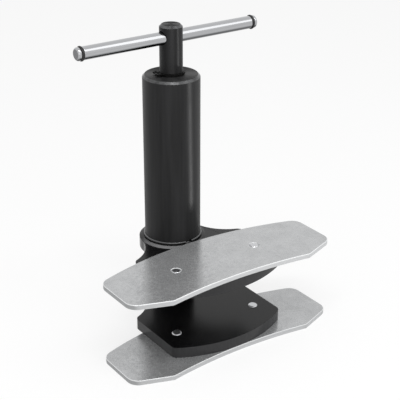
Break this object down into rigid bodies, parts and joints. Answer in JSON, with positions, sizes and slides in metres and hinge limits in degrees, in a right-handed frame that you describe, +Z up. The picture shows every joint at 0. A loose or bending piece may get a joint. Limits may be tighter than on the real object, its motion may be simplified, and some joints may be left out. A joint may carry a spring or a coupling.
{
  "type": "brake caliper piston tool",
  "caption": "Hand tool with a T-bar and spindle in a closed tube: turning the bar drives flat jaws apart, whose wide pressure plates push brake pistons back into a caliper.",
  "frame": {"origin": "under the middle of the whole tool, on the plane of the lower plate's underside", "axes": "+Z up along the spindle, towards the T-bar; +X along the plates and the T-bar, to the right in the picture; the jaws reach towards -Y"},
  "size_m": [0.189, 0.1247, 0.24],
  "materials": {
    "black_oxide_steel": "black oxide, satin",
    "galvanised_steel": "zinc plated, satin and slightly mottled",
    "bright_steel": "turned and ground, bare",
    "bronze": "machined bronze",
    "rubber": "matt black"
  },
  "bodies": {
    "housing": {"housing_tube": "black_oxide_steel", "housing_snap_ring": "black_oxide_steel", "guide_bush": "bronze", "rod_wiper": "rubber", "upper_jaw": "black_oxide_steel", "upper_plate": "galvanised_steel", "upper_rivets": "bright_steel", "thrust_race_upper": "bright_steel"},
    "bearing_cage": {"thrust_cage": "bronze", "thrust_balls": "bright_steel"},
    "screw": {"spindle": "black_oxide_steel", "spindle_circlip": "black_oxide_steel", "thrust_race_lower": "bright_steel", "stop_washer": "bright_steel", "stop_clip": "bright_steel"},
    "cross_bar": {"t_bar": "bright_steel", "t_bar_o_rings": "rubber"},
    "carriage": {"ram": "black_oxide_steel", "drive_nut": "bronze", "nut_grub_screws": "black_oxide_steel", "guide_key": "bright_steel", "key_screw": "black_oxide_steel", "jaw_dowel": "bright_steel", "lower_jaw": "black_oxide_steel", "lower_plate": "galvanised_steel", "lower_rivets": "bright_steel", "end_washer": "bright_steel", "end_screw": "black_oxide_steel"}
  },
  "joints": [
    {"name": "spindle_turn", "type": "hinge", "parent": "housing", "child": "screw", "pos_m": [0, 0.03505, 0.2], "axis": [0, 0, -1], "range_deg": [-3620, 2070]},
    {"name": "jaw_slide", "type": "slide", "parent": "housing", "child": "carriage", "axis": [0, 0, -1], "range_m": [-0.0403, 0.0231]},
    {"name": "cage_turn", "type": "hinge", "parent": "housing", "child": "bearing_cage", "pos_m": [0, 0.03505, 0.184], "axis": [0, 0, -1], "range_deg": [-1812, 1037]},
    {"name": "t_bar_slide", "type": "slide", "parent": "screw", "child": "cross_bar", "axis": [1, 0, 0], "range_m": [-0.065, 0.0675]}
  ],
  "couplings": [
    {"joint": "jaw_slide", "follows": "spindle_turn", "m_per_rad": 0.00063662},
    {"joint": "cage_turn", "follows": "spindle_turn", "ratio": 0.5}
  ]
}
